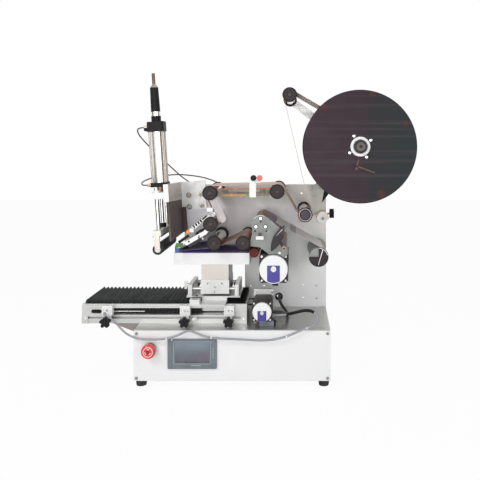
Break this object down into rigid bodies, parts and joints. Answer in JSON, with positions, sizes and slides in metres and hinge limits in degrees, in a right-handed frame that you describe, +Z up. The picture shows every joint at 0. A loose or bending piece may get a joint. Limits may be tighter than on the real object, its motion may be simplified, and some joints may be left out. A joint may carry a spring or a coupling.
{
  "type": "labelling machine",
  "caption": "Benchtop flat labelling machine: reel, peel edge and pneumatic press roller over a motorised sliding table.",
  "frame": {"origin": "on the floor under the middle of the base, where the feet stand", "axes": "+X to the right as seen from the front, +Y to the back, +Z up"},
  "size_m": [0.9835, 0.3893, 0.9077],
  "materials": {
    "bare_aluminium": "milled",
    "black_plastic": "matt",
    "black_rubber": "matt",
    "bright_steel": "ground and polished",
    "hose": "flexible tube",
    "motor_case": "black and white painted case",
    "paper": "translucent backing paper",
    "plate_grey": "fine blasted and anodised",
    "red_plastic": "gloss",
    "red_rubber": "ground rubber",
    "slate_plastic": "moulded",
    "smoky_plastic": "dark smoky sheet",
    "steel_sheet": "brushed",
    "violet_pad": "matt foam rubber",
    "white_coat": "white powder coat",
    "white_plastic": "gloss"
  },
  "bodies": {
    "frame": {"base_cabinet": "white_coat", "front_panel": "white_coat", "top_plate": "steel_sheet", "rubber_feet": "black_rubber", "hmi_panel": "slate_plastic", "estop_collar": "black_plastic", "back_plate": "plate_grey", "slide_extrusions": "bare_aluminium", "slide_frame": "bare_aluminium", "bellows_left": "black_rubber", "bellows_right": "black_rubber", "table_motor": "motor_case", "drive_belts": "black_rubber", "press_cylinder": "bare_aluminium", "guide_block": "white_plastic", "press_bracket": "bare_aluminium", "plate_shafts": "bright_steel", "front_links": "bare_aluminium", "peel_table": "bare_aluminium", "peel_comb": "bare_aluminium", "traction_plate": "plate_grey", "traction_motor": "motor_case", "reel_arm": "bare_aluminium", "label_web": "paper", "machine_screws": "bright_steel", "sensor_cable": "hose", "motor_cable": "hose", "air_hoses": "hose"},
    "estop": {"estop_button": "red_plastic"},
    "carriage": {"carriage": "bare_aluminium"},
    "table_pulley": {"table_pulley": "bare_aluminium"},
    "jig": {"jig_slider": "bare_aluminium", "platform_tray": "white_plastic", "platform_pad": "violet_pad"},
    "wing_screw": {"wing_screw": "bright_steel"},
    "press": {"press_rod": "bright_steel", "press_yoke": "bright_steel"},
    "press_roller": {"press_roller": "black_rubber"},
    "dancer": {"dancer_arm": "bare_aluminium"},
    "dancer_roller": {"dancer_roller": "bare_aluminium"},
    "reel": {"label_reel": "smoky_plastic", "label_roll": "paper"},
    "rewind": {"rewind_spool": "black_plastic"},
    "drive_roller": {"drive_roller": "black_rubber"},
    "feed_pulley": {"feed_pulley": "bare_aluminium"},
    "pinch_lever": {"pinch_lever": "black_plastic"},
    "nip_roller": {"nip_roller": "red_rubber"},
    "label_sensor": {"label_sensor": "black_plastic"},
    "upper_left_roller": {"upper_left_roller": "bare_aluminium"},
    "upper_right_roller": {"upper_right_roller": "bare_aluminium"},
    "peel_feed_roller": {"peel_feed_roller": "bare_aluminium"},
    "lower_left_roller": {"lower_left_roller": "bare_aluminium"},
    "lower_right_roller": {"lower_right_roller": "bare_aluminium"},
    "reel_side_roller": {"reel_side_roller": "bare_aluminium"},
    "sensor_block_left": {"sensor_block_left": "white_plastic"},
    "star_knob_left": {"star_knob_left": "black_plastic"},
    "sensor_block_middle": {"sensor_block_middle": "white_plastic"},
    "star_knob_middle": {"star_knob_middle": "black_plastic"},
    "sensor_block_right": {"sensor_block_right": "white_plastic"},
    "star_knob_right": {"star_knob_right": "black_plastic"}
  },
  "joints": [
    {"name": "estop_push", "type": "slide", "parent": "frame", "child": "estop", "axis": [0, 1, 0], "range_m": [0, 0.004], "stiffness_N_per_m": 600, "springref_m": -0.003},
    {"name": "table_slide", "type": "slide", "parent": "frame", "child": "carriage", "axis": [1, 0, 0], "range_m": [-0.29, 0], "deforming": ["bellows_left", "bellows_right"]},
    {"name": "table_pulley_spin", "type": "hinge", "parent": "frame", "child": "table_pulley", "pos_m": [0.084, -0.037, 0.206], "axis": [0, 1, 0], "range_deg": [-1915, 5]},
    {"name": "jig_shift", "type": "slide", "parent": "carriage", "child": "jig", "axis": [1, 0, 0], "range_m": [-0.02, 0]},
    {"name": "wing_screw_turn", "type": "hinge", "parent": "carriage", "child": "wing_screw", "pos_m": [-0.141, -0.06, 0.2635], "axis": [1, 0, 0], "continuous": true},
    {"name": "press_stroke", "type": "slide", "parent": "frame", "child": "press", "axis": [-0.0656, 0, 0.9978], "range_m": [0, 0.05]},
    {"name": "press_roller_spin", "type": "hinge", "parent": "press", "child": "press_roller", "pos_m": [-0.2184, -0.05, 0.3854], "axis": [0, 1, 0], "continuous": true},
    {"name": "dancer_swing", "type": "hinge", "parent": "frame", "child": "dancer", "pos_m": [0.3685, 0.055, 0.684], "axis": [0, 1, 0], "range_deg": [-25, 15], "stiffness_Nm_per_rad": 3, "springref_deg": 9.74, "deforming": ["label_web"]},
    {"name": "dancer_roller_spin", "type": "hinge", "parent": "dancer", "child": "dancer_roller", "pos_m": [0.164, -0.05, 0.8349], "axis": [0, 1, 0], "continuous": true},
    {"name": "reel_spin", "type": "hinge", "parent": "frame", "child": "reel", "pos_m": [0.3685, -0.05, 0.684], "axis": [0, 1, 0], "continuous": true},
    {"name": "rewind_spin", "type": "hinge", "parent": "frame", "child": "rewind", "pos_m": [0.2487, -0.04, 0.3607], "axis": [0, 1, 0], "continuous": true},
    {"name": "drive_roller_spin", "type": "hinge", "parent": "frame", "child": "drive_roller", "pos_m": [0.0794, -0.05, 0.459], "axis": [0, 1, 0], "continuous": true},
    {"name": "feed_pulley_spin", "type": "hinge", "parent": "frame", "child": "feed_pulley", "pos_m": [0.117, 0.046, 0.3278], "axis": [0, 1, 0], "continuous": true},
    {"name": "pinch_lever_turn", "type": "hinge", "parent": "frame", "child": "pinch_lever", "pos_m": [0.1475, -0.15, 0.389], "axis": [0, 1, 0], "range_deg": [0, 60]},
    {"name": "nip_roller_spin", "type": "hinge", "parent": "frame", "child": "nip_roller", "pos_m": [0.0595, -0.045, 0.372], "axis": [0, 1, 0], "continuous": true},
    {"name": "label_sensor_slide", "type": "slide", "parent": "frame", "child": "label_sensor", "axis": [0.9998, 0, 0.0209], "range_m": [-0.08, 0.02]},
    {"name": "upper_left_roller_spin", "type": "hinge", "parent": "frame", "child": "upper_left_roller", "pos_m": [-0.068, -0.05, 0.5495], "axis": [0, 1, 0], "continuous": true},
    {"name": "upper_right_roller_spin", "type": "hinge", "parent": "frame", "child": "upper_right_roller", "pos_m": [0.1277, -0.05, 0.5536], "axis": [0, 1, 0], "continuous": true},
    {"name": "peel_feed_roller_spin", "type": "hinge", "parent": "frame", "child": "peel_feed_roller", "pos_m": [-0.066, -0.05, 0.4587], "axis": [0, 1, 0], "continuous": true},
    {"name": "lower_left_roller_spin", "type": "hinge", "parent": "frame", "child": "lower_left_roller", "pos_m": [-0.0556, -0.05, 0.4039], "axis": [0, 1, 0], "continuous": true},
    {"name": "lower_right_roller_spin", "type": "hinge", "parent": "frame", "child": "lower_right_roller", "pos_m": [0.0285, -0.05, 0.4039], "axis": [0, 1, 0], "continuous": true},
    {"name": "reel_side_roller_spin", "type": "hinge", "parent": "frame", "child": "reel_side_roller", "pos_m": [0.2088, -0.05, 0.486], "axis": [0, 1, 0], "continuous": true},
    {"name": "sensor_block_left_slide", "type": "slide", "parent": "frame", "child": "sensor_block_left", "axis": [1, 0, 0], "range_m": [-0.05, 0]},
    {"name": "star_knob_left_turn", "type": "hinge", "parent": "sensor_block_left", "child": "star_knob_left", "pos_m": [-0.366, -0.165, 0.179], "axis": [0, 1, 0], "continuous": true},
    {"name": "sensor_block_middle_slide", "type": "slide", "parent": "frame", "child": "sensor_block_middle", "axis": [1, 0, 0], "range_m": [-0.08, 0]},
    {"name": "star_knob_middle_turn", "type": "hinge", "parent": "sensor_block_middle", "child": "star_knob_middle", "pos_m": [-0.139, -0.165, 0.179], "axis": [0, 1, 0], "continuous": true},
    {"name": "sensor_block_right_slide", "type": "slide", "parent": "frame", "child": "sensor_block_right", "axis": [1, 0, 0], "range_m": [-0.06, 0.01]},
    {"name": "star_knob_right_turn", "type": "hinge", "parent": "sensor_block_right", "child": "star_knob_right", "pos_m": [-0.012, -0.165, 0.179], "axis": [0, 1, 0], "continuous": true}
  ],
  "couplings": [
    {"joint": "table_pulley_spin", "follows": "table_slide", "rad_per_m": 114.94},
    {"joint": "feed_pulley_spin", "follows": "drive_roller_spin", "ratio": 1.4724}
  ]
}
